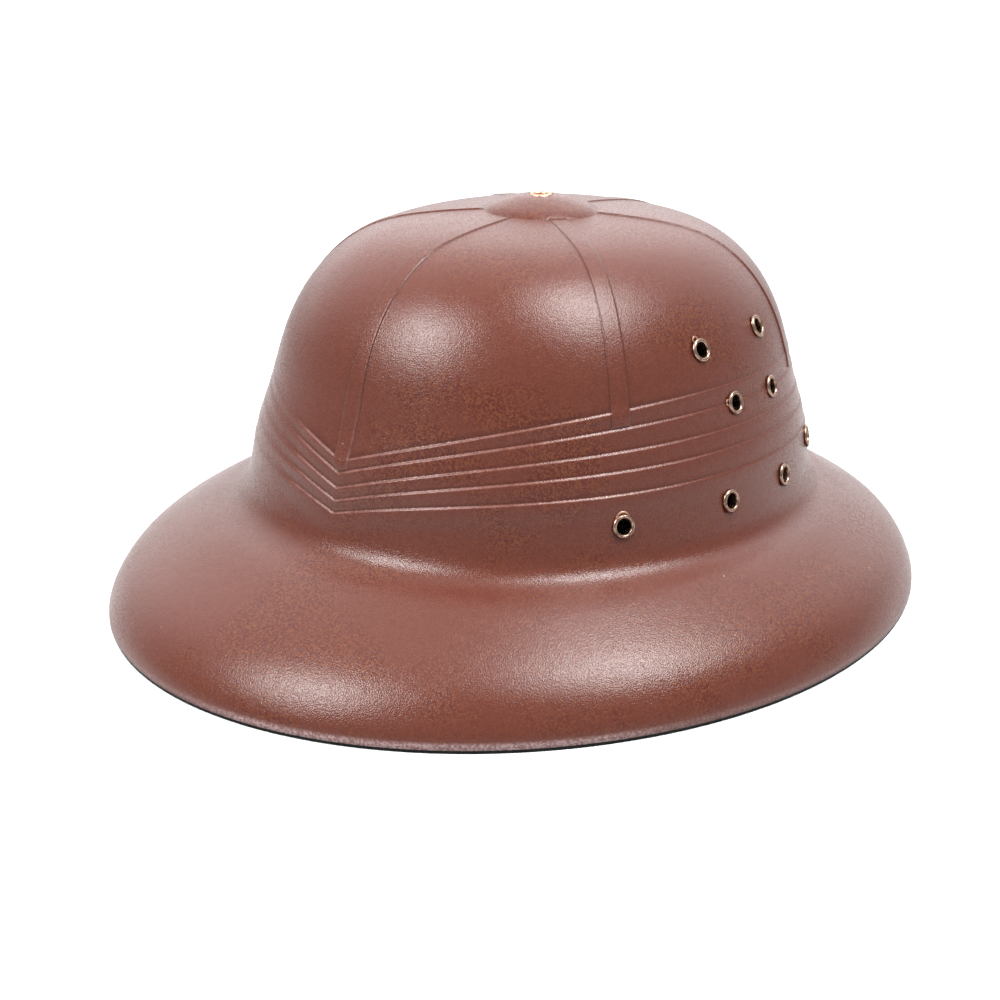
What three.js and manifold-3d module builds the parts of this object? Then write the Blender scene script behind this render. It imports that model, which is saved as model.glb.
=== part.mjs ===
// Pith helmet of pressed fibre: a hollow shell with seam tapes, pleats and a top boss, and rolled brass eyelets.
// Millimetres, +Z up. The rim stands on z = 0, the front faces -Y and the wearer's left is +X.

import * as THREE from 'three';
import { mergeVertices } from 'three/addons/utils/BufferGeometryUtils.js';
import Module from 'manifold-3d';

const wasm = await Module();
wasm.setup();

// Brim: an oval with an upright lip that stands on the floor.
const brimLength = 324;
const brimWidth = 287.6;
const lipHeight = 3.8;

// Crown: a rounder oval, set back in the brim and leaning back a little.
const crownLength = 214.8;
const crownWidth = 193.6;
const footHeight = 45.8;
const crownHeight = 94.9;
const crownSetBack = 8.8;
const crownLean = 3.7;
const frontLift = 3.1;
const crownTaper = 0.04;
const crownSquareness = 2.14;

// The fibre itself.
const wall = 2.4;

// Raised seam tapes, which run from the boss over the top pleats and end at the next one.
const tapeCount = 6;
const tapeWidth = 6.2;
const tapeHeight = 0.45;
const tapeBevel = 0.4;
const crossedPleats = 1;

// Pleated band: each pleat's top edge is a small ledge.
const pleatDepth = 0.5;
const ledgeDrop = 0.5;

// Boss on the top of the crown.
const bossDiameter = 42.4;
const bossHeight = 4.6;

// Rolled eyelets and the seats that they are pressed into.
const eyeletBore = 5.3;
const eyeletMetal = 0.35;
const flangeDiameter = 8.4;
const flangeThickness = 0.9;
const backFlangeDiameter = 8;
const backFlangeThickness = 0.7;
const seatDepth = 0.3;
const bossSeatDepth = 0.9;
const clearance = 0.3;

// How finely the surfaces are cut into faces.
const fieldColumns = 5;
const upperRows = 6;
const brimRows = 9;
const innerCrownRows = 4;
const innerBrimRows = 6;
const eyeletSides = 12;

// Section of the crown from its top to its foot, as shares of its half size and its height.
const crownSection = [
  { radius: 0, height: 1 },
  { radius: 0.189, height: 0.989 },
  { radius: 0.532, height: 0.944 },
  { radius: 0.705, height: 0.86 },
  { radius: 0.821, height: 0.73 },
  { radius: 0.902, height: 0.55 },
  { radius: 0.95, height: 0.35 },
  { radius: 1, height: 0.15 },
];

// Section of the brim from the crown's foot to the lip, as shares of its reach and of its rise above the lip.
const brimSection = [
  { reach: 0.1, rise: 0.825 },
  { reach: 0.28, rise: 0.723 },
  { reach: 0.5, rise: 0.603 },
  { reach: 0.72, rise: 0.445 },
  { reach: 0.88, rise: 0.274 },
  { reach: 0.97, rise: 0.106 },
  { reach: 1, rise: 0 },
];

// Section of the boss, as shares of its radius and its height.
const bossSection = [
  { radius: 0, height: 1 },
  { radius: 0.3, height: 0.95 },
  { radius: 0.62, height: 0.68 },
  { radius: 0.86, height: 0.27 },
  { radius: 1, height: 0 },
];

// Pleats from the top one down: the height of each ledge at the front tip and at the side, as shares of the
// crown's height above its foot. A larger swing climbs from the tip to the side sooner.
const pleats = [
  { tip: 0.233, side: 0.476, swing: 2.3 },
  { tip: 0.19, side: 0.408, swing: 2.6 },
  { tip: 0.137, side: 0.326, swing: 3 },
  { tip: 0.092, side: 0.258, swing: 3.3 },
  { tip: 0.047, side: 0.179, swing: 3.7 },
];

// Eyelets on one side: degrees round from the front, and height as a share of the crown's.
const sideEyelets = [
  { name: 'upper_front', turn: 82.6, height: 0.61 },
  { name: 'upper_back', turn: 103.5, height: 0.624 },
  { name: 'middle_front', turn: 89.5, height: 0.4 },
  { name: 'middle_back', turn: 103.5, height: 0.4 },
  { name: 'lower_front', turn: 59.3, height: 0.062 },
  { name: 'lower_middle', turn: 84.5, height: 0.068 },
  { name: 'lower_back', turn: 101.9, height: 0.073 },
  { name: 'lower_last', turn: 121, height: 0.124 },
];

// Sizes that follow from the ones above.
const bossRadius = bossDiameter / 2;
const tapeStep = (2 * Math.PI) / tapeCount;
const tapeColumns = 5;
const columnStep = tapeStep / (tapeColumns + fieldColumns);
const barrelRadius = eyeletBore / 2 + eyeletMetal;
const meanCrownRadius = (crownLength + crownWidth) / 4;
const meanBrimRadius = (brimLength + brimWidth) / 4;
const sideTurn = Math.PI / 2;

const fibre = new THREE.MeshStandardMaterial({ color: 0x80503f, roughness: 0.42, metalness: 0 });
const brass = new THREE.MeshStandardMaterial({ color: 0xb98a5a, roughness: 0.3, metalness: 1 });

// The smooth section of crown and brim. Each point holds the crown's radius, the brim's reach and the height.
const section = new THREE.CatmullRomCurve3(
  [
    ...crownSection.map((row) => sectionPoint(row.radius, 0, footHeight + crownHeight * row.height)),
    ...brimSection.map((row) => sectionPoint(1, row.reach, lipHeight + (footHeight - lipHeight) * row.rise)),
  ],
  false,
  'centripetal',
);

function sectionPoint(radius, reach, height) {
  return new THREE.Vector3(radius * meanCrownRadius, reach * (meanBrimRadius - meanCrownRadius), height);
}

function sectionAt(along) {
  const point = section.getPoint(THREE.MathUtils.clamp(along, 0, 1));
  return {
    radius: point.x / meanCrownRadius,
    reach: point.y / (meanBrimRadius - meanCrownRadius),
    height: point.z,
  };
}

// Cosine or sine of a slightly squared oval.
function squared(value) {
  return Math.sign(value) * Math.abs(value) ** (2 / crownSquareness);
}

// A point of the plain surface: along the section from the top (0) to the lip (1), and round from the front.
function surface(along, turn) {
  const { radius, reach, height } = sectionAt(along);
  const onCrown = 1 - reach;
  const climb = THREE.MathUtils.clamp((height - footHeight) / crownHeight, 0, 1);
  const forward = squared(Math.cos(turn));
  const sideways = squared(Math.sin(turn)) * (1 - crownTaper * climb);
  return new THREE.Vector3(
    onCrown * radius * (crownWidth / 2) * sideways + reach * (brimWidth / 2) * Math.sin(turn),
    onCrown * (crownSetBack + crownLean * climb - radius * (crownLength / 2) * forward) -
      reach * (brimLength / 2) * Math.cos(turn),
    height + onCrown * radius * frontLift * forward,
  );
}

// The way out of the plain surface at a point.
function outward(along, turn) {
  const step = 1e-3;
  const from = THREE.MathUtils.clamp(along, 2 * step, 1 - 2 * step);
  const down = surface(from + step, turn).sub(surface(from - step, turn));
  const round = surface(from, turn + step).sub(surface(from, turn - step));
  return down.cross(round).normalize();
}

// Halves an interval until it finds where a falling measure passes a target.
function findAlong(measure, target) {
  const halvings = 24;
  let low = 0;
  let high = 1;
  for (let pass = 0; pass < halvings; pass += 1) {
    const middle = (low + high) / 2;
    if (measure(middle) > target) low = middle;
    else high = middle;
  }
  return low;
}

// Where the section leaves the crown and turns out into the brim.
const crownFoot = (crownSection.length - 1) / (crownSection.length + brimSection.length - 1);

function alongAtHeight(height) {
  return findAlong((along) => sectionAt(along).height, height);
}

const crownTop = surface(0, 0);

function alongAtRadius(radius, turn) {
  return findAlong((along) => {
    const point = surface(along, turn);
    return -Math.hypot(point.x - crownTop.x, point.y - crownTop.y);
  }, -radius);
}

// Where a pleat's ledge lies: lowest at the front tip, level from the side to the back.
function pleatAlong(pleat, turn, drop) {
  const fromFront = Math.abs(THREE.MathUtils.euclideanModulo(turn + Math.PI, 2 * Math.PI) - Math.PI);
  const climb = 1 - (1 - Math.min(fromFront / sideTurn, 1)) ** pleat.swing;
  const share = pleat.tip + (pleat.side - pleat.tip) * climb;
  return alongAtHeight(footHeight + crownHeight * share - drop);
}

// Columns of the shell, round from the front: each tape's middle, the top and the foot of its edge, the field
// between two tapes, and the next tape's edge.
function shellColumns() {
  const columns = [];
  const add = (column) => columns.push({ ...column, even: columns.length * columnStep });
  for (let tape = 0; tape < tapeCount; tape += 1) {
    add({ tape, across: 0, onTape: true });
    add({ tape, across: tapeWidth / 2, onTape: true });
    add({ tape, across: tapeWidth / 2 + tapeBevel, onTape: false });
    for (let field = 1; field <= fieldColumns; field += 1) {
      add({ tape, between: field / (fieldColumns + 1), onTape: false });
    }
    add({ tape: tape + 1, across: -tapeWidth / 2 - tapeBevel, onTape: false });
    add({ tape: tape + 1, across: -tapeWidth / 2, onTape: true });
  }
  return columns;
}

// The tapes keep their width, so a column's turn on the crown depends on how far out its row lies. Over the
// brim's reach, where no tape runs, the columns spread out evenly.
function columnTurn(column, radius, reach) {
  const edge = (tapeWidth / 2 + tapeBevel) / radius;
  const inTape = column.tape * tapeStep + column.across / radius;
  const inField = column.tape * tapeStep + edge + column.between * (tapeStep - 2 * edge);
  const onCrown = column.between === undefined ? inTape : inField;
  return mix(onCrown, column.even, Math.sqrt(Math.max(reach, 0)));
}

// A point of the shell, sunk below the plain surface by a depth, or raised where the depth is negative.
function sunkPoint(column, alongAt, depth) {
  const nominal = columnTurn(column, meanCrownRadius, 0);
  const { radius, reach } = sectionAt(alongAt(nominal));
  const turn = columnTurn(column, Math.max(radius * meanCrownRadius, bossRadius), reach);
  const along = alongAt(turn);
  return surface(along, turn).addScaledVector(outward(along, turn), -depth);
}

// A point of the boss, or of the hollow under it.
function bossPoint(column, row, radius, depth) {
  const turn = columnTurn(column, bossRadius, 0);
  const along = alongAtRadius(row.radius * radius, turn);
  const point = surface(along, turn);
  point.z += row.height * bossHeight - depth;
  return point;
}

// A point of the lip's foot, set in from the brim's edge along the floor.
function lipPoint(column, inset) {
  const turn = column.even;
  const across = new THREE.Vector3(Math.sin(turn) / brimWidth, -Math.cos(turn) / brimLength, 0).normalize();
  return surface(1, turn).setZ(0).addScaledVector(across, -inset);
}

function mix(from, to, share) {
  return from + (to - from) * share;
}

// Rows of the shell from the boss over the outside to the lip, and back over the inside.
function shellRows() {
  const bossFoot = (turn) => alongAtRadius(bossRadius, turn);
  const topPleat = (turn) => pleatAlong(pleats[0], turn, 0);
  const lastPleat = (turn) => pleatAlong(pleats.at(-1), turn, ledgeDrop);
  const rows = [];
  const outside = (alongAt, raise) => rows.push((column) => sunkPoint(column, alongAt, -raise(column)));
  const onTape = (column) => (column.onTape ? tapeHeight : 0);

  for (const row of bossSection.slice(0, -1)) rows.push((column) => bossPoint(column, row, bossRadius, 0));
  for (let row = 0; row <= upperRows; row += 1) {
    outside((turn) => mix(bossFoot(turn), topPleat(turn), row / (upperRows + 1)), onTape);
  }
  pleats.forEach((pleat, number) => {
    outside((turn) => pleatAlong(pleat, turn, 0), number < crossedPleats ? onTape : () => 0);
    outside((turn) => pleatAlong(pleat, turn, ledgeDrop), () => pleatDepth);
  });

  outside((turn) => mix(lastPleat(turn), crownFoot, 0.5), () => 0);
  for (let row = 0; row <= brimRows; row += 1) {
    outside(() => mix(crownFoot, 1, row / brimRows), () => 0);
  }
  rows.push((column) => lipPoint(column, 0));

  rows.push((column) => lipPoint(column, wall));
  for (let row = innerBrimRows; row > 0; row -= 1) {
    rows.push((column) => sunkPoint(column, () => mix(crownFoot, 1, row / innerBrimRows), wall));
  }
  for (let row = 0; row <= innerCrownRows; row += 1) {
    const alongAt = (turn) => mix(crownFoot, alongAtRadius(bossRadius - wall, turn), row / innerCrownRows);
    rows.push((column) => sunkPoint(column, alongAt, wall));
  }
  for (const row of bossSection.slice(0, -2).reverse()) {
    rows.push((column) => bossPoint(column, row, bossRadius - wall, wall));
  }
  return rows;
}

// A lathe gives the closed skin, and each of its points is then moved to its place on the shell. Its outline
// runs from the inside to the outside, so that the skin faces outwards.
function shellSkin() {
  const columns = shellColumns();
  const rows = shellRows().reverse();
  const outline = rows.map((row, number) => new THREE.Vector2(Math.sin((Math.PI * number) / (rows.length - 1)), number));
  const skin = new THREE.LatheGeometry(outline, columns.length);
  for (let across = 0; across <= columns.length; across += 1) {
    const column = columns[across % columns.length];
    rows.forEach((row, number) => {
      const point = row(column);
      skin.attributes.position.setXYZ(across * rows.length + number, point.x, point.y, point.z);
    });
  }
  return skin;
}

// A closed geometry as a solid that can be cut, without the slivers that meet at a pole.
function toSolid(geometry) {
  const bare = geometry.clone();
  bare.deleteAttribute('normal');
  bare.deleteAttribute('uv');
  const merged = mergeVertices(bare, 1e-3);
  const corners = Array.from(merged.index.array);
  const kept = [];
  for (let first = 0; first < corners.length; first += 3) {
    const [a, b, c] = corners.slice(first, first + 3);
    if (a !== b && b !== c && c !== a) kept.push(a, b, c);
  }
  const vertProperties = new Float32Array(merged.attributes.position.array);
  return new wasm.Manifold(new wasm.Mesh({ numProp: 3, vertProperties, triVerts: new Uint32Array(kept) }));
}

function toGeometry(solid) {
  const { vertProperties, triVerts } = solid.getMesh();
  const geometry = new THREE.BufferGeometry();
  geometry.setAttribute('position', new THREE.BufferAttribute(new Float32Array(vertProperties), 3));
  geometry.setIndex(new THREE.BufferAttribute(new Uint32Array(triVerts), 1));
  geometry.computeVertexNormals();
  return geometry;
}

// Where each eyelet sits: a centre on its outer seat, the way out, and the fibre left between its two seats.
function eyeletPlaces() {
  const places = [];
  for (const [side, sign] of [['left', 1], ['right', -1]]) {
    for (const { name, turn, height } of sideEyelets) {
      const along = alongAtHeight(footHeight + crownHeight * height);
      const angle = sign * THREE.MathUtils.degToRad(turn);
      const axis = outward(along, angle);
      const centre = surface(along, angle).addScaledVector(axis, -seatDepth);
      places.push({ name: `eyelet_${side}_${name}`, centre, axis, grip: wall - seatDepth });
    }
  }
  const centre = crownTop.clone().setZ(crownTop.z + bossHeight - bossSeatDepth);
  places.push({ name: 'eyelet_crown', centre, axis: new THREE.Vector3(0, 0, 1), grip: wall - bossSeatDepth });
  return places;
}

// Turns a piece that stands along +Y to stand along an axis.
function stand(object, { centre, axis }) {
  object.quaternion.setFromUnitVectors(new THREE.Vector3(0, 1, 0), axis);
  object.position.copy(centre);
  object.updateMatrix();
}

// The hole and the two flat seats that an eyelet is pressed into.
function eyeletCut(place) {
  const beyond = 4;
  const cylinder = (radius, from, to) => {
    const geometry = new THREE.CylinderGeometry(radius, radius, to - from, eyeletSides);
    return toSolid(geometry.translate(0, (from + to) / 2, 0));
  };
  const hole = cylinder(barrelRadius + clearance, -place.grip - beyond, beyond);
  const outerSeat = cylinder(flangeDiameter / 2 + clearance, 0, beyond);
  const innerSeat = cylinder(backFlangeDiameter / 2 + clearance, -place.grip - beyond, -place.grip);
  const holder = new THREE.Object3D();
  stand(holder, place);
  return hole.add(outerSeat).add(innerSeat).transform(holder.matrix.toArray());
}

// A brass tube with a rolled flange on the outside and a flat one on the inside.
function eyeletGeometry(grip) {
  const bore = eyeletBore / 2;
  const flange = flangeDiameter / 2;
  const backFlange = backFlangeDiameter / 2;
  const top = clearance + flangeThickness;
  const back = -grip - clearance;
  const round = flangeThickness / 2;
  return new THREE.LatheGeometry(
    [
      new THREE.Vector2(bore, back - backFlangeThickness),
      new THREE.Vector2(backFlange, back - backFlangeThickness),
      new THREE.Vector2(backFlange, back),
      new THREE.Vector2(barrelRadius, back),
      new THREE.Vector2(barrelRadius, clearance),
      new THREE.Vector2(flange, clearance),
      new THREE.Vector2(flange - round / 2, top),
      new THREE.Vector2(bore + round, top),
      new THREE.Vector2(bore, top - round),
      new THREE.Vector2(bore, back - backFlangeThickness),
    ],
    eyeletSides,
  );
}

function eyelet(place) {
  const mesh = new THREE.Mesh(eyeletGeometry(place.grip), brass.clone());
  mesh.name = place.name;
  stand(mesh, place);
  return mesh;
}

function shell(places) {
  let solid = toSolid(shellSkin());
  for (const place of places) solid = solid.subtract(eyeletCut(place));
  const mesh = new THREE.Mesh(toGeometry(solid), fibre);
  mesh.name = 'shell';
  return mesh;
}

const places = eyeletPlaces();
const helmet = new THREE.Group();
helmet.add(shell(places));
for (const place of places) helmet.add(eyelet(place));

export default helmet;
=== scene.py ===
# Pith helmet of brown painted pressed fibre with rolled brass vent eyelets, standing on its rim.
# Metres, +Z up. The front of the hat faces -Y and the wearer's left is +X.
from math import cos, pi, radians, sin

import bmesh
import bpy
import numpy as np
from mathutils import Matrix, Vector


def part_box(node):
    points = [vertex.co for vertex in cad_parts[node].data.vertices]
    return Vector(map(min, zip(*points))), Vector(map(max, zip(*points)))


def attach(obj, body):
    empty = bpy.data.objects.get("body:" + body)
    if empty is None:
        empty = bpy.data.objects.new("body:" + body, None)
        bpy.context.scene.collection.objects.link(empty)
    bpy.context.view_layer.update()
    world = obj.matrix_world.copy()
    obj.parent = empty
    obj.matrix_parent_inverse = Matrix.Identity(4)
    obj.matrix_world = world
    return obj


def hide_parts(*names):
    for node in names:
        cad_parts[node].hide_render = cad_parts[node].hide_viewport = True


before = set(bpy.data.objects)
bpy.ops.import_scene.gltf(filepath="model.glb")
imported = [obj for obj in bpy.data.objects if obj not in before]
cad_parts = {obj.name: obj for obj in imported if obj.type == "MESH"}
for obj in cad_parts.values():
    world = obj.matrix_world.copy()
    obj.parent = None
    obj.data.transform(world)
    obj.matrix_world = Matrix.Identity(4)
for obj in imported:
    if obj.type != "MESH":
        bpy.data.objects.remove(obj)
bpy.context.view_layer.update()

mm = 0.001


# Camera. It stands in front of the hat, round towards the wearer's left, and looks down on the brim a little.
camera_turn = radians(39.41)
camera_rise = radians(19.72)
camera_distance = 812.0 * mm
aim_height = 29.9 * mm
aim_right = -7.0 * mm
lens = 77.14
sensor = 36.0

rightward = Vector((cos(camera_turn), sin(camera_turn), 0.0))
level_back = Vector((sin(camera_turn), -cos(camera_turn), 0.0))
backward = level_back * cos(camera_rise) + Vector((0.0, 0.0, sin(camera_rise)))
aim = Vector((0.0, 0.0, aim_height)) + rightward * aim_right
camera_data = bpy.data.cameras.new("camera")
camera_data.lens = lens
camera_data.sensor_width = sensor
camera = bpy.data.objects.new("camera", camera_data)
camera_turned = backward.to_track_quat("Z", "Y").to_matrix().to_4x4()
camera.matrix_world = Matrix.Translation(aim + backward * camera_distance) @ camera_turned
bpy.context.scene.collection.objects.link(camera)
bpy.context.scene.camera = camera


# Shell. Crown, brim, lip, seam tapes, pleats and boss are one pressing of fibre with a 2.4 mm wall. A tube
# with one ring for each row is spun, and each ring is then drawn to its place on the hat, first over the
# outside and then back over the inside. The eyelet holes are cut last.
shell_low, shell_high = (Vector(corner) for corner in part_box("shell"))
brim_width = shell_high.x - shell_low.x
brim_length = shell_high.y - shell_low.y
lip_height = 3.8 * mm
crown_length = 214.8 * mm
crown_width = 193.6 * mm
foot_height = 45.8 * mm
crown_height = 94.9 * mm
crown_set_back = 8.8 * mm
crown_lean = 3.7 * mm
front_lift = 3.1 * mm
crown_taper = 0.04
corner_bulge = 0.0229
corner_shift = 0.018
wall = 2.4 * mm

# Section of the crown from its top to its foot: (radius, height) as shares of its half size and its height.
crown_section = [(0, 1), (0.189, 0.989), (0.532, 0.944), (0.705, 0.86), (0.821, 0.73), (0.902, 0.55)]
crown_section += [(0.95, 0.35), (1, 0.15)]

# Section of the brim from the crown's foot to the floor: (reach, rise) as shares of its reach and its rise.
brim_section = [(0.1, 0.825), (0.28, 0.723), (0.5, 0.603), (0.72, 0.445), (0.88, 0.274), (0.97, 0.106)]
brim_section += [(1, 0), (1, -0.09)]

mean_crown = (crown_length + crown_width) / 4
mean_reach = (brim_length + brim_width) / 4 - mean_crown


def smooth_line(points, samples):
    """A natural cubic spline through the points, as samples at even steps of its length."""
    points = np.array(points, dtype=float)
    gaps = np.sqrt(np.linalg.norm(np.diff(points, axis=0), axis=1))
    knots = np.concatenate([[0.0], np.cumsum(gaps)])
    last = len(points) - 1
    bend = np.eye(last + 1)
    pull = np.zeros_like(points)
    for row in range(1, last):
        bend[row, row - 1:row + 2] = gaps[row - 1], 2 * (gaps[row - 1] + gaps[row]), gaps[row]
        slope_after = (points[row + 1] - points[row]) / gaps[row]
        slope_before = (points[row] - points[row - 1]) / gaps[row - 1]
        pull[row] = 6 * (slope_after - slope_before)
    curvature = np.linalg.solve(bend, pull)
    at = np.linspace(0, knots[-1], 8 * samples)
    span = np.clip(np.searchsorted(knots, at, side="right") - 1, 0, last - 1)
    gap = gaps[span][:, None]
    after = (at - knots[span])[:, None]
    before = gap - after
    line = (curvature[span] * before**3 + curvature[span + 1] * after**3) / (6 * gap)
    line += (points[span] / gap - curvature[span] * gap / 6) * before
    line += (points[span + 1] / gap - curvature[span + 1] * gap / 6) * after
    length = np.concatenate([[0.0], np.cumsum(np.linalg.norm(np.diff(line, axis=0), axis=1))])
    even = np.linspace(0, length[-1], samples)
    return even, np.stack([np.interp(even, length, part) for part in line.T], axis=1)


# The section runs from rim to rim over the top, so that it is level there, and one half of it is kept.
line_samples = 6000
half_section = []
for radius, height in crown_section:
    half_section.append((radius * mean_crown, 0.0, foot_height + crown_height * height))
for reach, rise in brim_section:
    half_section.append((mean_crown, reach * mean_reach, lip_height + (foot_height - lip_height) * rise))
mirrored = [(-radius, -reach, height) for radius, reach, height in reversed(half_section[1:])]
line_length, line = smooth_line(mirrored + half_section, 2 * line_samples + 1)
line_along = line_length[line_samples:] - line_length[line_samples]
line_radius = line[line_samples:, 0] / mean_crown
line_reach = line[line_samples:, 1] / mean_reach
line_height = line[line_samples:, 2]
rim_along = line_along[-1]


def section_at(along):
    """The section's share of the crown's radius, its share of the brim's reach, and its height."""
    return tuple(np.interp(along, line_along, part) for part in (line_radius, line_reach, line_height))


def along_at_height(height):
    """How far along the section, from the top, it comes down to a height."""
    return np.interp(-height, -line_height, line_along)


def surface(along, turn):
    """A point of the plain surface: along the section from the top, and round from the front."""
    radius, reach, height = section_at(along)
    on_crown = 1 - reach
    climb = np.clip((height - foot_height) / crown_height, 0, 1)
    bulge = 1 + corner_bulge * np.sin(2 * turn) ** 2
    bent = turn + corner_shift * np.sin(4 * turn)
    forward = bulge * np.cos(bent)
    sideways = bulge * np.sin(bent) * (1 - crown_taper * climb)
    x = on_crown * radius * crown_width / 2 * sideways + reach * brim_width / 2 * np.sin(turn)
    y = on_crown * (crown_set_back + crown_lean * climb - radius * crown_length / 2 * forward)
    y = y - reach * brim_length / 2 * np.cos(turn)
    z = height + on_crown * radius * front_lift * forward
    return np.stack([x, y, z], axis=-1)


def outward(along, turn):
    """The way out of the plain surface."""
    step = 0.3 * mm
    turn_step = 0.002
    held = np.clip(along, 2 * step, rim_along - 2 * step)
    down = surface(held + step, turn) - surface(held - step, turn)
    around = surface(held, turn + turn_step) - surface(held, turn - turn_step)
    out = np.cross(down, around)
    return out / np.linalg.norm(out, axis=-1, keepdims=True)


crown_top = surface(np.array(0.0), np.array(0.0))
crown_foot = along_at_height(foot_height)


def along_at_radius(radius, turn):
    """Where the surface lies that far out from the middle of the crown's top."""
    near_top = line_along[:4000:20]
    flat = surface(near_top[None, :], np.asarray(turn)[:, None])[..., :2] - crown_top[:2]
    out = np.linalg.norm(flat, axis=-1)
    return np.array([np.interp(radius, row, near_top) for row in out])


# Pleats from the top one down: each ledge's height at the front tip and at the side, as shares of the crown's
# height above its foot, and how early it climbs: (tip, side, swing).
pleats = [
    (0.233, 0.476, 2.3),
    (0.190, 0.408, 2.6),
    (0.137, 0.326, 3.0),
    (0.092, 0.258, 3.3),
    (0.047, 0.179, 3.7),
]
pleat_depth = 0.5 * mm
pleat_side_depth = 0.2 * mm
pleat_soft_depth = 0.13 * mm
ledge_width = 0.9 * mm
soft_ledge_width = 2.4 * mm
last_pleat_width = 9.0 * mm
# Painted shade in the crease just above each ledge: how far above it, and how wide.
crease_shade_offset = 0.25 * mm
crease_shade_reach = 0.3 * mm


def smoothstep(low, high, value):
    share = np.clip((value - low) / (high - low), 0, 1)
    return share * share * (3 - 2 * share)


def from_front(turn):
    """A turn as an angle from the front: towards the wearer's left is positive."""
    return (turn + pi) % (2 * pi) - pi


def ledge_width_at(turn):
    """The ledges are crisp at the front and the left, and softly rounded on the wearer's right."""
    signed = from_front(turn)
    past_front = smoothstep(radians(-9), radians(-19), signed)
    near_back = smoothstep(radians(-110), radians(-160), signed)
    soft = past_front * (1 - near_back)
    return ledge_width + (soft_ledge_width - ledge_width) * soft


def ledge_along(pleat, turn):
    """Where a pleat's ledge lies: lowest at the front tip, level from the side to the back."""
    tip, side, swing = pleats[pleat]
    climb = 1 - (1 - np.minimum(np.abs(from_front(turn)) / (pi / 2), 1)) ** swing
    return along_at_height(foot_height + crown_height * (tip + (side - tip) * climb))


# Seam tapes: six strips that run down from the boss, cross the top pleat and end at the next one.
tape_count = 6
tape_width = 6.2 * mm
tape_height = 0.45 * mm
tape_bevel = 0.35 * mm
tape_end = 0.5 * mm
bridge_reach = 3.0 * mm
# Widths of the painted highlight on the front tape's edges and of the painted shade at the tapes' feet, and
# where that highlight starts and ends down the tape.
tape_highlight_width = 0.3 * mm
tape_shade_width = 0.22 * mm
tape_highlight_from = 14.0 * mm
tape_highlight_to = 30.0 * mm
tape_step = 2 * pi / tape_count

# Columns across one tape, from its middle out: (half widths of the tape, bevel widths past its edge).
tape_columns = [(0, 0), (0.45, 0), (0.8, 0), (1, -0.6), (1, 0), (1, 0.35), (1, 0.7), (1, 1), (1, 2)]
field_columns = 43
columns = []
for tape in range(tape_count):
    for half, bevel in tape_columns:
        columns.append((tape, half * tape_width / 2 + bevel * tape_bevel, np.nan))
    for field in range(1, field_columns + 1):
        columns.append((tape, 0.0, field / (field_columns + 1)))
    for half, bevel in reversed(tape_columns[1:]):
        columns.append((tape + 1, -half * tape_width / 2 - bevel * tape_bevel, np.nan))
column_tape, column_across, column_between = np.array(columns).T
from_tape_middle = np.abs(column_across)
column_count = len(columns)
column_even = np.arange(column_count) * 2 * pi / column_count
in_field = ~np.isnan(column_between)
on_tape = 1 - smoothstep(tape_width / 2 - 0.1 * mm, tape_width / 2 + tape_bevel, from_tape_middle)
on_tape = np.where(in_field, 0.0, on_tape)
# Painted shade along the foot of each tape's edges.
tape_foot_shade = np.exp(-((from_tape_middle - tape_width / 2 - tape_bevel) / tape_shade_width) ** 2)
tape_foot_shade = np.where(in_field, 0.0, tape_foot_shade)

# Paler paint along the front tape's edges is a painted highlight, strongest on the edge towards the wearer's
# left.
on_front_tape = (column_tape % tape_count == 0) & (from_tape_middle > 0)
tape_edge_highlight = np.exp(-((from_tape_middle - tape_width / 2) / tape_highlight_width) ** 2)
tape_edge_highlight = np.where(on_front_tape, tape_edge_highlight, 0.0) * np.where(column_across > 0, 0.9, 0.35)


def column_turn(radius, reach):
    """How far round each column lies on a row: tapes keep their width, and the brim's columns lie evenly."""
    edge = (tape_width / 2 + tape_bevel * 2) / radius
    strip = column_tape * tape_step + column_across / radius
    field = column_tape * tape_step + edge + np.nan_to_num(column_between) * (tape_step - 2 * edge)
    crown_turn = np.where(in_field, field, strip)
    spread = np.sqrt(np.clip(reach, 0, 1))
    return crown_turn + (column_even - crown_turn) * spread


# Boss: a low round cap in the middle of the crown, with a small flat seat for its eyelet. Its section is
# (radius, height) as shares.
boss_radius = 21.2 * mm
boss_height = 4.6 * mm
boss_seat_radius = 4.5 * mm
boss_seat_depth = 0.9 * mm
boss_section = [(0, 1), (0.3, 0.95), (0.62, 0.72), (0.88, 0.37), (1, 0)]
boss_mirrored = [(-radius, height) for radius, height in reversed(boss_section[1:])]
boss_samples = 400
boss_line = smooth_line(boss_mirrored + boss_section, 2 * boss_samples + 1)[1][boss_samples:]


def ring_on_boss(radius, sink):
    """A ring of the boss, or of the hollow under it."""
    turn = column_turn(boss_radius, 0.0)
    point = surface(along_at_radius(max(radius, 0.01 * mm), turn), turn)
    rise = boss_height * np.interp(radius / boss_radius, boss_line[:, 0], boss_line[:, 1])
    point[:, 2] += rise - sink
    return point


def ring_on_shell(along_at, sink, relief=False):
    """A ring of the shell, sunk below the plain surface, or with its pleats and tapes raised over it."""
    nominal = column_turn(mean_crown, 0.0)
    radius, reach, _ = section_at(along_at(nominal))
    turn = column_turn(np.maximum(radius * mean_crown, boss_radius), reach)
    along = along_at(turn)
    lift = np.full(column_count, -sink)
    ledge = np.zeros(column_count)
    crease_shade = np.zeros(column_count)
    if relief:
        folds, bridged, ledge, crease_shade = pleat_relief(along, turn)
        covered, tape_crease_shade, tape_highlight = tape_relief(along, turn)
        lift = lift + folds + (bridged + tape_height - folds) * covered
        ledge = np.maximum(ledge * (1 - covered), tape_highlight)
        crease_shade = np.maximum(crease_shade * (1 - covered), tape_crease_shade)
    return surface(along, turn) + outward(along, turn) * lift[:, None], ledge, crease_shade


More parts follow.
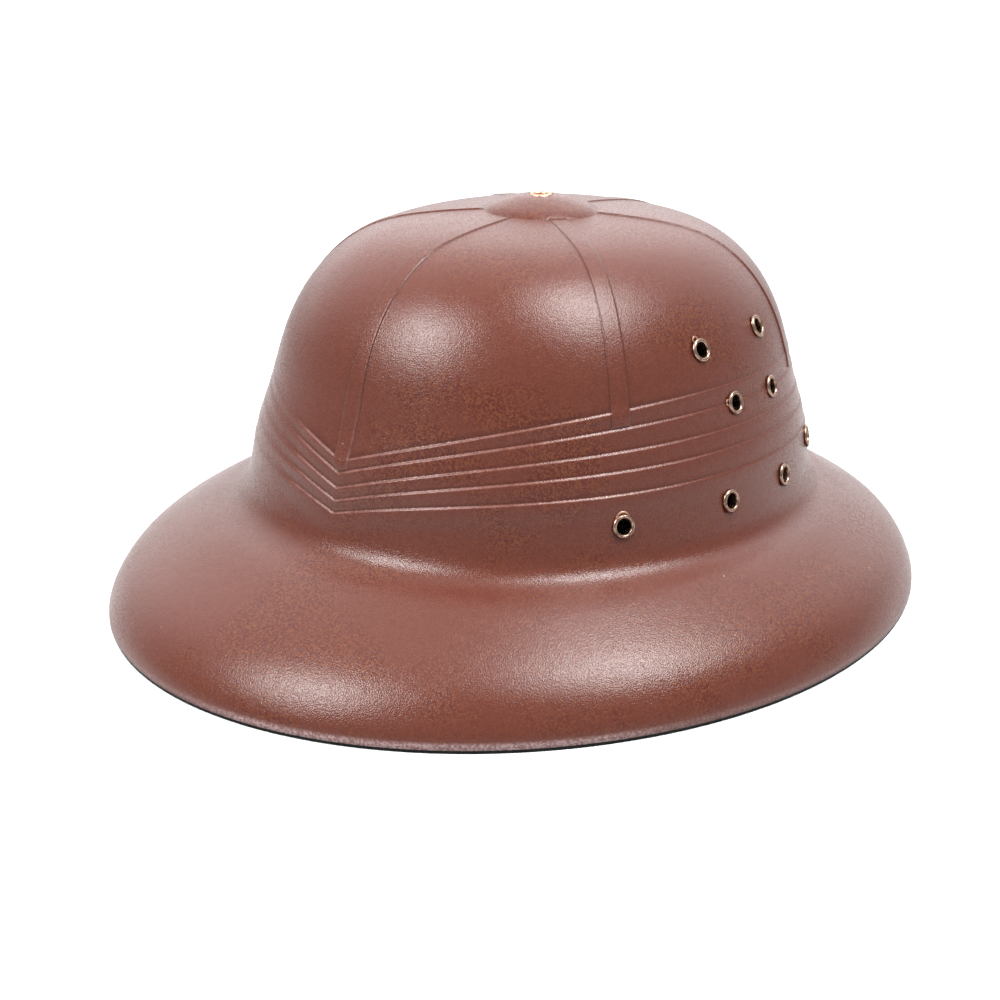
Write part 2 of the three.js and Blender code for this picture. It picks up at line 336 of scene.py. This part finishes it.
def pleat_relief(along, turn):
    """How far the pleats stand out, where their ledges carry painted highlight, and where painted shade lies
    in the crease above them.
    """
    signed = from_front(turn)
    depth = pleat_depth + (pleat_side_depth - pleat_depth) * smoothstep(radians(62), radians(92), signed)
    depth = depth + (pleat_soft_depth - pleat_depth) * smoothstep(radians(-9), radians(-21), signed)
    width = ledge_width_at(turn)
    highlight_share = smoothstep(radians(-17), radians(-9), signed)
    highlight_share = highlight_share * (1 - smoothstep(radians(56), radians(84), signed))
    folds = np.zeros_like(along)
    bridged = np.zeros_like(along)
    ledge = np.zeros_like(along)
    crease_shade = np.zeros_like(along)
    for pleat in range(len(pleats)):
        below = along - ledge_along(pleat, turn)
        last = pleat == len(pleats) - 1
        reach = last_pleat_width if last else ledge_along(pleat + 1, turn) - ledge_along(pleat, turn)
        inside = (below > 0) & (below <= reach)
        fall = 1 - smoothstep(0.15, 1, below / reach)
        folds = np.where(inside, depth * (smoothstep(0, width, below) * fall), folds)
        if pleat == 0:
            bridged = depth * smoothstep(-bridge_reach, bridge_reach, below) * fall
        # Painted highlight along each ledge's top.
        highlight_here = np.exp(-((below - 0.55 * width) / (0.42 * width)) ** 2) * (0.02 + 0.98 * highlight_share)
        # Painted shade in the crease just above the ledge.
        shade_here = np.exp(-((below + crease_shade_offset) / crease_shade_reach) ** 2) * depth / pleat_depth
        ledge = np.maximum(ledge, highlight_here)
        crease_shade = np.maximum(crease_shade, shade_here)
    return folds, bridged, ledge, crease_shade


def tape_relief(along, turn):
    """Where the tapes cover the shell, where painted shade lies along their feet, and where the front one's
    edges carry painted highlight.
    """
    to_end = ledge_along(1, turn) - along
    shown = smoothstep(0, tape_end, to_end)
    highlight_share = tape_edge_highlight * shown * (1 - smoothstep(tape_highlight_from, tape_highlight_to, to_end))
    return on_tape * shown, tape_foot_shade * shown, highlight_share


# Rows, from the middle of the boss over the outside to the floor, then over the inside to the middle again.
rings = []
row_ledge = []
row_crease_shade = []


def add_ring(points, ledge=None, crease_shade=None):
    rings.append(points)
    row_ledge.append(np.zeros(column_count) if ledge is None else ledge)
    row_crease_shade.append(np.zeros(column_count) if crease_shade is None else crease_shade)


# The boss, with the eyelet's seat in its middle.
for share in (0.0, 0.5, 0.97):
    seat = ring_on_boss(share * boss_seat_radius, 0)
    seat[:, 2] = crown_top[2] + boss_height - boss_seat_depth
    add_ring(seat)
for radius in np.linspace(boss_seat_radius, 0.995 * boss_radius, 26):
    add_ring(ring_on_boss(radius, 0))


def add_relief_ring(along_at):
    """A ring of the outside, with its pleats and tapes."""
    add_ring(*ring_on_shell(along_at, 0, True))


def boss_foot(turn):
    return along_at_radius(boss_radius, turn)


def ledge_row(pleat, step):
    """A row beside a ledge, so many ledge widths below it."""
    return lambda turn: ledge_along(pleat, turn) + step * ledge_width_at(turn)


def row_between(upper, lower, share):
    return lambda turn: upper(turn) + (lower(turn) - upper(turn)) * share


# The crown from the boss to the first pleat, the pleats, and the crown's foot.
first_step = -0.5
last_step = 1.3
upper_rows = 56
for row in range(upper_rows):
    share = row / upper_rows
    add_relief_ring(lambda turn: boss_foot(turn) + (ledge_along(0, turn) - boss_foot(turn)) * share
                    - 0.5 * mm * share)

for pleat in range(len(pleats)):
    for step in (first_step, -0.2, 0.0, 0.25, 0.5, 0.75, 1.0, last_step):
        add_relief_ring(ledge_row(pleat, step))
    if pleat < len(pleats) - 1:
        for share in (0.35, 0.6, 0.85):
            add_relief_ring(row_between(ledge_row(pleat, last_step), ledge_row(pleat + 1, first_step), share))

lower_rows = 14
last_ledge = ledge_row(len(pleats) - 1, last_step)
for row in range(1, lower_rows):
    add_relief_ring(row_between(last_ledge, lambda turn: crown_foot, row / lower_rows))

# The brim, down to where the lip turns in.
brim_rows = 48
brim_end = rim_along - 1.35 * mm
for row in range(brim_rows + 1):
    along = crown_foot + (brim_end - crown_foot) * row / brim_rows
    add_relief_ring(lambda turn: np.full_like(turn, along))
# Faces from this row down to the floor take the dark material; on the lip's foot it is partly painted contact
# shade.
paint_rows = len(rings) - 1


def ring_on_lip(inset, height):
    """A ring of the lip: how far in from the rim, and how high over the floor."""
    turn = column_even
    level_turn = np.zeros_like(turn)
    across = np.stack([np.sin(turn) / brim_width, -np.cos(turn) / brim_length, level_turn], axis=-1)
    across /= np.linalg.norm(across, axis=-1, keepdims=True)
    point = surface(np.full_like(turn, rim_along), turn) - across * inset
    point[:, 2] = height
    return point


lip_profile = [(0.25, 1.3), (0.25, 0.4), (0.4, 0.1), (0.65, 0.0), (1.9, 0.0), (2.3, 0.2), (2.4, 0.6)]
for inset, height in lip_profile:
    add_ring(ring_on_lip(inset * mm, height * mm))

# The inside, back over the crown to the hollow under the boss.
inner_rows = 44
inner_end = rim_along - 2.5 * mm
hollow_radius = boss_radius - wall
for row in range(inner_rows + 1):
    share = row / inner_rows
    add_ring(*ring_on_shell(
        lambda turn: inner_end + (along_at_radius(hollow_radius, turn) - inner_end) * share, wall))
for radius in np.linspace(0.97 * hollow_radius, 0, 8):
    add_ring(ring_on_boss(radius * boss_radius / hollow_radius, wall))

row_count = len(rings)
ladder = bmesh.new()
steps = [ladder.verts.new((1, 0, row)) for row in range(row_count)]
for low, high in zip(steps, steps[1:]):
    ladder.edges.new((low, high))
bmesh.ops.spin(ladder, geom=ladder.verts[:] + ladder.edges[:], cent=(0, 0, 0), axis=(0, 0, 1), angle=2 * pi,
               steps=column_count, use_merge=True, use_duplicate=False)
shell_mesh = bpy.data.meshes.new("helmet_shell")
ladder.to_mesh(shell_mesh)
ladder.free()

place = np.empty(len(shell_mesh.vertices) * 3)
shell_mesh.vertices.foreach_get("co", place)
place = place.reshape(-1, 3)
vertex_row = np.rint(place[:, 2]).astype(int)
vertex_turn = np.arctan2(place[:, 1], place[:, 0]) / (2 * pi)
vertex_column = np.rint(vertex_turn * column_count).astype(int) % column_count
shell_mesh.vertices.foreach_set("co", np.array(rings)[vertex_row, vertex_column].ravel())
for name, values in (("ledge", row_ledge), ("crease_shade", row_crease_shade)):
    attribute = shell_mesh.attributes.new(name, "FLOAT", "POINT")
    attribute.data.foreach_set("value", np.array(values)[vertex_row, vertex_column])

face_corners = np.empty(len(shell_mesh.loops), dtype=int)
shell_mesh.loops.foreach_get("vertex_index", face_corners)
face_row = vertex_row[face_corners.reshape(-1, 4)].min(axis=1)
shell_mesh.polygons.foreach_set("material_index", (face_row >= paint_rows).astype(int))
shell_mesh.polygons.foreach_set("use_smooth", np.ones(len(face_row), dtype=bool))
shell_mesh.update()

shell = bmesh.new()
shell.from_mesh(shell_mesh)
bmesh.ops.remove_doubles(shell, verts=shell.verts[:], dist=0.005 * mm)
bmesh.ops.recalc_face_normals(shell, faces=shell.faces[:])

# Eyelet holes. Each lies where its eyelet stands on the frame, square to the surface there.
hole_radius = 3.2 * mm
eyelet_names = [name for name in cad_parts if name.startswith("eyelet_")]
eyelet_places = {}
search_steps = 61
search_rounds = 6
search_start = (0.08, 0.08, 0.4)
for name in eyelet_names:
    low, high = (np.array(corner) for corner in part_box(name))
    middle = (low + high) / 2
    if name == "eyelet_crown":
        seat_middle = Vector(crown_top) + Vector((0, 0, boss_height - boss_seat_depth))
        eyelet_places[name] = (seat_middle, Vector((0, 0, 1)))
        continue
    guess_along, along_reach, turn_reach = search_start
    guess_turn = np.arctan2(middle[0], -(middle[1] - crown_set_back))
    for _ in range(search_rounds):
        tries_along = guess_along + np.linspace(-along_reach, along_reach, search_steps)[:, None]
        tries_turn = guess_turn + np.linspace(-turn_reach, turn_reach, search_steps)[None, :]
        tries = surface(np.clip(tries_along, 0, rim_along), tries_turn)
        nearest = np.argmin(np.linalg.norm(tries - middle, axis=-1))
        guess_along = tries_along[nearest // search_steps, 0]
        guess_turn = tries_turn[0, nearest % search_steps]
        along_reach /= 10
        turn_reach /= 10
    centre = surface(np.array(guess_along), np.array(guess_turn))
    axis = outward(np.array(guess_along), np.array(guess_turn))
    eyelet_places[name] = (Vector(centre), Vector(axis))

# The faces over each hole go, the open edges are drawn to a circle, and the hole's wall is bridged.
hole_reach = 8 * mm
face_centres = np.array([face.calc_center_median() for face in shell.faces])
shell.faces.ensure_lookup_table()
doomed = set()
for centre, axis in eyelet_places.values():
    leg = face_centres - np.array(centre)
    along_axis = leg @ np.array(axis)
    out = np.linalg.norm(leg - along_axis[:, None] * np.array(axis), axis=1)
    doomed.update(np.nonzero((np.abs(along_axis) < hole_reach) & (out < hole_radius))[0])
bmesh.ops.delete(shell, geom=[shell.faces[number] for number in sorted(doomed)], context="FACES")
open_edges = [edge for edge in shell.edges if edge.is_boundary]
for centre, axis in eyelet_places.values():
    hole_edges = [edge for edge in open_edges if (edge.verts[0].co - centre).length < hole_reach]
    for vert in {vert for edge in hole_edges for vert in edge.verts}:
        leg = vert.co - centre
        away = leg - axis * leg.dot(axis)
        vert.co += away.normalized() * (hole_radius - away.length)
    bmesh.ops.bridge_loops(shell, edges=hole_edges)
bmesh.ops.recalc_face_normals(shell, faces=shell.faces[:])
shell.to_mesh(shell_mesh)
shell.free()
helmet_shell = bpy.data.objects.new("helmet_shell", shell_mesh)
bpy.context.scene.collection.objects.link(helmet_shell)


def new_material(name):
    """A material, its node tree and its Principled shader."""
    material = bpy.data.materials.new(name)
    material.use_nodes = True
    tree = material.node_tree
    return material, tree, tree.nodes["Principled BSDF"]


def add_node(tree, kind, settings=None, numbered=None, **named):
    """A node with its settings, and the values or links of its inputs, by their numbers or by their names."""
    node = tree.nodes.new(kind)
    for name, value in (settings or {}).items():
        setattr(node, name, value)
    inputs = [(node.inputs[number], value) for number, value in (numbered or {}).items()]
    inputs += [(node.inputs[name.title()], value) for name, value in named.items()]
    for socket, value in inputs:
        if isinstance(value, bpy.types.NodeSocket):
            tree.links.new(value, socket)
        else:
            socket.default_value = value
    return node


def calculate(tree, operation, first, second=0.0, third=0.0):
    node = add_node(tree, "ShaderNodeMath", {"operation": operation}, {0: first, 1: second, 2: third})
    return node.outputs[0]


def remap(tree, value, from_low, from_high, to_low=0.0, to_high=1.0):
    """A smooth ramp of a value, held at both ends."""
    node = add_node(tree, "ShaderNodeMapRange", {"interpolation_type": "SMOOTHSTEP"},
                    {0: value, 1: from_low, 2: from_high, 3: to_low, 4: to_high})
    return node.outputs[0]


def noise(tree, where, scale, detail=2.0, roughness=0.5, distortion=0.0):
    return add_node(tree, "ShaderNodeTexNoise", vector=where, scale=scale, detail=detail,
                    roughness=roughness, distortion=distortion).outputs["Fac"]


def blend_colour(tree, share, first, second):
    node = add_node(tree, "ShaderNodeMix", {"data_type": "RGBA"}, {0: share, 6: first, 7: second})
    return node.outputs[2]


def new_group(name, inputs, outputs):
    """A node group with named number inputs, a Vector input, and named number outputs."""
    group = bpy.data.node_groups.new(name, "ShaderNodeTree")
    group.interface.new_socket("Vector", in_out="INPUT", socket_type="NodeSocketVector")
    for word, value in inputs.items():
        group.interface.new_socket(word, in_out="INPUT", socket_type="NodeSocketFloat").default_value = value
    for word in outputs:
        group.interface.new_socket(word, in_out="OUTPUT", socket_type="NodeSocketFloat")
    return group, group.nodes.new("NodeGroupInput").outputs, group.nodes.new("NodeGroupOutput").inputs


def place_group(tree, group, where, **values):
    """A placed group's outputs, with the values of its number inputs."""
    node = tree.nodes.new("ShaderNodeGroup")
    node.node_tree = group
    tree.links.new(where, node.inputs["Vector"])
    for word, value in values.items():
        node.inputs[word].default_value = value
    return node.outputs


# Fibre grain: fine pebbles with creases between them, over a slower unevenness of the pressing.
warp_by = 0.5 * mm
grain, grain_in, grain_out = new_group("fibre_grain", {"Pebbles": 1900.0}, ["Height", "Pits"])
warp = add_node(grain, "ShaderNodeTexNoise", vector=grain_in["Vector"], scale=1100.0, detail=2.0)
warped = add_node(grain, "ShaderNodeVectorMath", {"operation": "MULTIPLY_ADD"},
                  {0: warp.outputs["Color"], 1: [warp_by] * 3, 2: grain_in["Vector"]}).outputs[0]
pebbles = add_node(grain, "ShaderNodeTexVoronoi", {"feature": "SMOOTH_F1"}, vector=warped,
                   scale=grain_in["Pebbles"], smoothness=0.25, randomness=1.0).outputs["Distance"]
fine = noise(grain, grain_in["Vector"], 2600.0, 2.0, 0.6)
slow = noise(grain, grain_in["Vector"], 260.0, 3.0, 0.55)
height = calculate(grain, "MULTIPLY_ADD", pebbles, -1.0, fine)
height = calculate(grain, "MULTIPLY_ADD", slow, 1.2, height)
grain.links.new(height, grain_out["Height"])
grain.links.new(remap(grain, pebbles, 0.42, 0.68), grain_out["Pits"])

# Loose dust: a few pale specks of uneven size.
dust, dust_in, dust_out = new_group("dust_specks", {"Spacing": 110.0, "Size": 0.03}, ["Specks"])
cells = add_node(dust, "ShaderNodeTexVoronoi", vector=dust_in["Vector"], scale=dust_in["Spacing"],
                 randomness=1.0).outputs
chance = add_node(dust, "ShaderNodeSeparateColor", numbered={0: cells["Color"]}).outputs[0]
size = calculate(dust, "MULTIPLY", dust_in["Size"], remap(dust, chance, 0.7, 1.0))
inside = calculate(dust, "LESS_THAN", cells["Distance"], size)
dust.links.new(inside, dust_out["Specks"])

# Brown paint on the outside: a warm brown, stippled with orange and dark red in cloudy patches. It is paler
# where the rim is scuffed, and paler along the ledges and the front tape's edges as painted highlight. It is
# darker in the creases as painted shade, and in the pits.
paint_brown = (0.112, 0.0305, 0.0185, 1)
paint_orange = (0.157, 0.048, 0.020, 1)
paint_red = (0.077, 0.015, 0.011, 1)
# Pit dots are partly dark stipple in the fibre and partly painted shade in the grain's recesses.
pit_dot_and_shade = (0.050, 0.010, 0.007, 1)
# The pale ledge colour is painted highlight.
painted_ledge_highlight = (0.30, 0.150, 0.130, 1)
paint_scuffed = (0.42, 0.29, 0.29, 1)
# The crease colour is painted shade.
painted_crease_shade = (0.030, 0.008, 0.005, 1)
dust_pale = (0.55, 0.42, 0.36, 1)
paint_bump = 0.06 * mm
scuff_middle = (72 * mm, -140 * mm, 2 * mm)

paint, tree, paint_shader = new_material("brown_paint")
where = add_node(tree, "ShaderNodeTexCoord").outputs["Object"]
grain_now = place_group(tree, grain, where)
clouds = noise(tree, where, 26.0, 4.0, 0.6, 0.6)
patches = remap(tree, clouds, 0.47, 0.62)
stipple = remap(tree, noise(tree, where, 1200.0, 2.0, 0.6), 0.44, 0.57)
stippled = blend_colour(tree, stipple, paint_red, paint_orange)
stipple_share = calculate(tree, "MULTIPLY_ADD", patches, 0.7, 0.16)
colour = blend_colour(tree, stipple_share, paint_brown, stippled)
mild = remap(tree, noise(tree, where, 420.0, 3.0, 0.65), 0.3, 0.75, 0.0, 0.3)
colour = blend_colour(tree, mild, colour, paint_red)
# Dark dots in the grain's pits: partly dark stipple, partly painted shade in the recesses.
pit_dot_and_shade_share = calculate(tree, "MULTIPLY", grain_now["Pits"], calculate(tree, "MULTIPLY_ADD", patches, 0.2, 0.2))
colour = blend_colour(tree, pit_dot_and_shade_share, colour, pit_dot_and_shade)
ledge_highlight_now = add_node(tree, "ShaderNodeAttribute", {"attribute_name": "ledge"}).outputs["Fac"]
crease_shade_now = add_node(tree, "ShaderNodeAttribute", {"attribute_name": "crease_shade"}).outputs["Fac"]
# Paler paint on the ledges and the front tape's edges is painted highlight, broken up by noise.
ledge_highlight_noise = remap(tree, noise(tree, where, 300.0, 3.0), 0.25, 0.7, 0.12, 0.42)
ledge_highlight_share = calculate(tree, "MULTIPLY", ledge_highlight_now, ledge_highlight_noise)
# Darkening in the creases above the ledges and along the tapes' feet is painted shade.
colour = blend_colour(tree, calculate(tree, "MULTIPLY", crease_shade_now, 0.6), colour, painted_crease_shade)
colour = blend_colour(tree, ledge_highlight_share, colour, painted_ledge_highlight)
level = add_node(tree, "ShaderNodeSeparateXYZ", numbered={0: where}).outputs["Z"]
near_rim = remap(tree, level, 4.4 * mm, 2.6 * mm)
from_scuff = add_node(tree, "ShaderNodeVectorMath", {"operation": "DISTANCE"},
                      {0: where, 1: scuff_middle}).outputs["Value"]
scuff_share = remap(tree, from_scuff, 95 * mm, 50 * mm, 0.25, 0.85)
crinkle = noise(tree, where, 1100.0, 3.0, 0.7)
scuffed = calculate(tree, "MULTIPLY", scuff_share, remap(tree, crinkle, 0.42, 0.60, 0.3, 1.0))
scuffed = calculate(tree, "MULTIPLY", near_rim, scuffed)
colour = blend_colour(tree, scuffed, colour, paint_scuffed)
specks = place_group(tree, dust, where)["Specks"]
colour = blend_colour(tree, calculate(tree, "MULTIPLY", specks, 0.7), colour, dust_pale)
tree.links.new(colour, paint_shader.inputs["Base Color"])
gloss = remap(tree, noise(tree, where, 60.0, 3.0), 0.3, 0.7, 0.09, 0.14)
gloss = calculate(tree, "MULTIPLY_ADD", scuffed, 0.2, gloss)
gloss = calculate(tree, "MULTIPLY_ADD", grain_now["Pits"], 0.22, gloss)
tree.links.new(gloss, paint_shader.inputs["Roughness"])
bump = add_node(tree, "ShaderNodeBump", strength=1.0, distance=paint_bump, height=grain_now["Height"])
tree.links.new(bump.outputs["Normal"], paint_shader.inputs["Normal"])
paint_shader.inputs["IOR"].default_value = 1.43

# Dark green-black finish of the inside. The lip's foot, the band just over the floor, takes it too: there it
# is partly the dark finish of the edge and partly painted contact shade.
underside_and_rim_shade, tree, underside_shader = new_material("dark_underside_and_rim_shade")
where = add_node(tree, "ShaderNodeTexCoord").outputs["Object"]
grain_now = place_group(tree, grain, where, Pebbles=1100.0)
dark_finish_and_rim_shade = (0.003, 0.004, 0.004, 1)
dark_finish_and_rim_shade_mottle = (0.008, 0.010, 0.010, 1)
underside_bump = 0.04 * mm
mottle = remap(tree, noise(tree, where, 120.0, 4.0), 0.3, 0.7)
colour = blend_colour(tree, mottle, dark_finish_and_rim_shade, dark_finish_and_rim_shade_mottle)
tree.links.new(colour, underside_shader.inputs["Base Color"])
tree.links.new(remap(tree, grain_now["Pits"], 0.0, 1.0, 0.55, 0.75), underside_shader.inputs["Roughness"])
bump = add_node(tree, "ShaderNodeBump", strength=1.0, distance=underside_bump, height=grain_now["Height"])
tree.links.new(bump.outputs["Normal"], underside_shader.inputs["Normal"])
underside_shader.inputs["IOR"].default_value = 1.3
shell_mesh.materials.append(paint)
shell_mesh.materials.append(underside_and_rim_shade)
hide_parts("shell")
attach(helmet_shell, "root")


# Eyelets. Each vent is a rolled brass eyelet, pushed through the fibre from outside and clinched inside.
# Three on the wearer's left show the edge of a copper washer that has slipped from under the roll.
bore_radius = 2.65 * mm
barrel_radius = 3.0 * mm
roll_radius = 4.2 * mm
roll_height = 0.9 * mm
roll_gap = 0.3 * mm
clinch_radius = 4.0 * mm
clinch_height = 0.7 * mm
roll_curl = 0.12 * mm
barrel_fillet = 0.1 * mm
side_grip = 2.1 * mm
crown_grip = 1.5 * mm
eyelet_steps = 48
washer_breadth = 0.8 * mm
washer_height = 0.3 * mm
washer_lift = 0.25 * mm
washer_arc = radians(200)
washer_steps = 20

# Each washer: how far it has slipped, which way from straight up towards the front, and its outer radius.
slipped = {
    "eyelet_left_lower_front": (2.6 * mm, radians(0), 2.8 * mm),
    "eyelet_left_upper_front": (4.2 * mm, radians(22), 1.5 * mm),
    "eyelet_left_middle_front": (4.3 * mm, radians(78), 1.3 * mm),
}


def half_round(low, high, base, height, points):
    """Points of a half-round roll from its inner foot over its top to its outer foot."""
    middle = (low + high) / 2
    turns = [pi - pi * step / (points - 1) for step in range(points)]
    return [(middle + (high - low) / 2 * cos(turn), base + height * sin(turn)) for turn in turns]


def spin_section(body, section, matrix):
    """Spins a closed section of (radius, height) round its axis, and stands it in place."""
    corners = [body.verts.new((radius, 0, height)) for radius, height in section]
    edges = [body.edges.new((corners[number - 1], corners[number])) for number in range(len(corners))]
    bmesh.ops.spin(body, geom=corners + edges, cent=(0, 0, 0), axis=(0, 0, 1), angle=2 * pi,
                   steps=eyelet_steps, use_merge=True, use_duplicate=False)
    placed = [vert for vert in body.verts if not vert.tag]
    bmesh.ops.transform(body, matrix=matrix, verts=placed)
    for vert in placed:
        vert.tag = True


brass_clean = (0.38, 0.255, 0.19, 1)
brass_tarnished = (0.16, 0.085, 0.065, 1)
brass_bump = 0.03 * mm
brass, tree, brass_shader = new_material("rolled_brass")
where = add_node(tree, "ShaderNodeTexCoord").outputs["Object"]
tarnish = remap(tree, noise(tree, where, 500.0, 3.0, 0.6), 0.42, 0.72)
colour = blend_colour(tree, tarnish, brass_clean, brass_tarnished)
tree.links.new(colour, brass_shader.inputs["Base Color"])
tree.links.new(remap(tree, tarnish, 0.0, 1.0, 0.26, 0.50), brass_shader.inputs["Roughness"])
brass_shader.inputs["Metallic"].default_value = 1.0
dents = noise(tree, where, 1100.0, 2.0)
bump = add_node(tree, "ShaderNodeBump", strength=1.0, distance=brass_bump, height=dents)
tree.links.new(bump.outputs["Normal"], brass_shader.inputs["Normal"])

# The crown's eyelet is a paler, brighter copper than the others as a painted highlight, for the glint on top
# of the boss.
painted_glint_copper, tree, glint_copper_shader = new_material("painted_glint_copper")
where = add_node(tree, "ShaderNodeTexCoord").outputs["Object"]
stain = remap(tree, noise(tree, where, 700.0, 3.0, 0.6), 0.5, 0.75)
colour = blend_colour(tree, stain, (0.80, 0.50, 0.35, 1), (0.50, 0.27, 0.17, 1))
tree.links.new(colour, glint_copper_shader.inputs["Base Color"])
glint_copper_shader.inputs["Metallic"].default_value = 1.0
glint_copper_shader.inputs["Roughness"].default_value = 0.35

copper, tree, copper_shader = new_material("dull_copper")
where = add_node(tree, "ShaderNodeTexCoord").outputs["Object"]
stain = remap(tree, noise(tree, where, 800.0, 3.0, 0.6), 0.4, 0.65)
colour = blend_colour(tree, stain, (0.46, 0.25, 0.17, 1), (0.24, 0.11, 0.08, 1))
tree.links.new(colour, copper_shader.inputs["Base Color"])
copper_shader.inputs["Metallic"].default_value = 0.7
copper_shader.inputs["Roughness"].default_value = 0.42

for name, (centre, axis) in eyelet_places.items():
    grip = crown_grip if name == "eyelet_crown" else side_grip
    upright = Matrix.Translation(centre) @ axis.to_track_quat("Z", "Y").to_matrix().to_4x4()
    section = half_round(bore_radius, roll_radius, roll_gap, roll_height, 11)
    section += [(roll_radius - roll_curl, roll_curl), (barrel_radius + barrel_fillet, barrel_fillet)]
    section += [(barrel_radius, -barrel_fillet), (barrel_radius, -grip - roll_gap)]
    clinch = half_round(bore_radius, clinch_radius, grip + roll_gap, clinch_height, 9)
    section += [(radius, -height) for radius, height in reversed(clinch)]
    body = bmesh.new()
    spin_section(body, section, upright)
    bmesh.ops.recalc_face_normals(body, faces=body.faces[:])
    if name in slipped:
        distance, lean, washer_outer = slipped[name]
        up = upright.to_3x3().inverted() @ Vector((0, 0, 1))
        up = Vector((up.x, up.y, 0)).normalized()
        way = Matrix.Rotation(lean, 3, "Z") @ up
        old_faces = set(body.faces)
        rim = half_round(washer_outer - washer_breadth, washer_outer, 0, washer_height, 7)
        middle = way.to_track_quat("X", "Z").to_matrix().to_4x4()
        start = Matrix.Rotation(-washer_arc / 2, 4, "Z") @ middle
        corners = [body.verts.new(start @ Vector((radius, 0, height))) for radius, height in rim]
        face = body.faces.new(corners)
        bmesh.ops.spin(body, geom=[face, *face.edges, *corners], cent=(0, 0, 0), axis=(0, 0, 1),
                       angle=washer_arc, steps=washer_steps, use_merge=False, use_duplicate=False)
        arc_faces = [face for face in body.faces if face not in old_faces]
        arc_verts = list({vert for face in arc_faces for vert in face.verts})
        slip = Matrix.Translation(way * distance + Vector((0, 0, washer_lift)))
        bmesh.ops.transform(body, matrix=upright @ slip, verts=arc_verts)
        bmesh.ops.recalc_face_normals(body, faces=arc_faces)
        for face in arc_faces:
            face.material_index = 1
    mesh = bpy.data.meshes.new(name + "_brass")
    body.to_mesh(mesh)
    body.free()
    mesh.polygons.foreach_set("use_smooth", [True] * len(mesh.polygons))
    mesh.materials.append(painted_glint_copper if name == "eyelet_crown" else brass)
    mesh.materials.append(copper)
    piece = bpy.data.objects.new(name + "_brass", mesh)
    bpy.context.scene.collection.objects.link(piece)
    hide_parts(name)
    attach(piece, "root")


# Floor. A pale sheet that the hat stands on. It throws less light up at the hat than the camera sees on it,
# as a studio's floor does that falls away into shade.
floor_size = 40.0
floor_bounce = (0.5, 0.5, 0.5, 1)
floor_seen = (0.97, 0.97, 0.97, 1)
floor_data = bmesh.new()
bmesh.ops.create_grid(floor_data, x_segments=1, y_segments=1, size=floor_size / 2)
floor_mesh = bpy.data.meshes.new("floor")
floor_data.to_mesh(floor_mesh)
floor_data.free()
floor = bpy.data.objects.new("floor", floor_mesh)
bpy.context.scene.collection.objects.link(floor)
floor_material, tree, floor_shader = new_material("pale_floor")
seen = add_node(tree, "ShaderNodeLightPath").outputs["Is Camera Ray"]
tree.links.new(blend_colour(tree, seen, floor_bounce, floor_seen), floor_shader.inputs["Base Color"])
floor_shader.inputs["Roughness"].default_value = 0.9
floor_mesh.materials.append(floor_material)


# Light. A pale room, brighter behind the hat than in front of it, and two soft boxes high on either side.
room_front = 0.41
room_behind = 1.9
room_bright_way = (-0.51, 0.62, 0.60)
room_seen = 0.96
box_distance = 1.3
aim_point = Vector((0, 0, 80 * mm))
world = bpy.data.worlds.new("room")
world.use_nodes = True
tree = world.node_tree
background = tree.nodes["Background"]
direction = add_node(tree, "ShaderNodeTexCoord").outputs["Generated"]
bright_share = add_node(tree, "ShaderNodeVectorMath", {"operation": "DOT_PRODUCT"},
                        {0: direction, 1: room_bright_way}).outputs["Value"]
strength = remap(tree, bright_share, 0.3, 0.95, room_front, room_behind)
seen = add_node(tree, "ShaderNodeLightPath").outputs["Is Camera Ray"]
strength = add_node(tree, "ShaderNodeMix", {"data_type": "FLOAT"},
                    {0: seen, 2: strength, 3: room_seen}).outputs[0]
tree.links.new(strength, background.inputs["Strength"])
background.inputs["Color"].default_value = (0.985, 0.985, 1.0, 1)
bpy.context.scene.world = world
bpy.context.scene.view_settings.view_transform = "Standard"


def soft_box(name, turn, rise, width, height, radiance):
    """An area light that faces the hat, at a turn round from the front and a rise over the floor."""
    data = bpy.data.lights.new(name, "AREA")
    data.shape = "RECTANGLE"
    data.size = width
    data.size_y = height
    data.energy = radiance * pi * width * height
    light = bpy.data.objects.new(name, data)
    away = Vector((sin(turn) * cos(rise), -cos(turn) * cos(rise), sin(rise)))
    facing = away.to_track_quat("Z", "Y").to_matrix().to_4x4()
    light.matrix_world = Matrix.Translation(aim_point + away * box_distance) @ facing
    bpy.context.scene.collection.objects.link(light)


soft_box("left_box", radians(-19), radians(44), 0.58, 0.6, 17.5)
soft_box("right_box", radians(106), radians(61), 0.58, 0.76, 17.5)
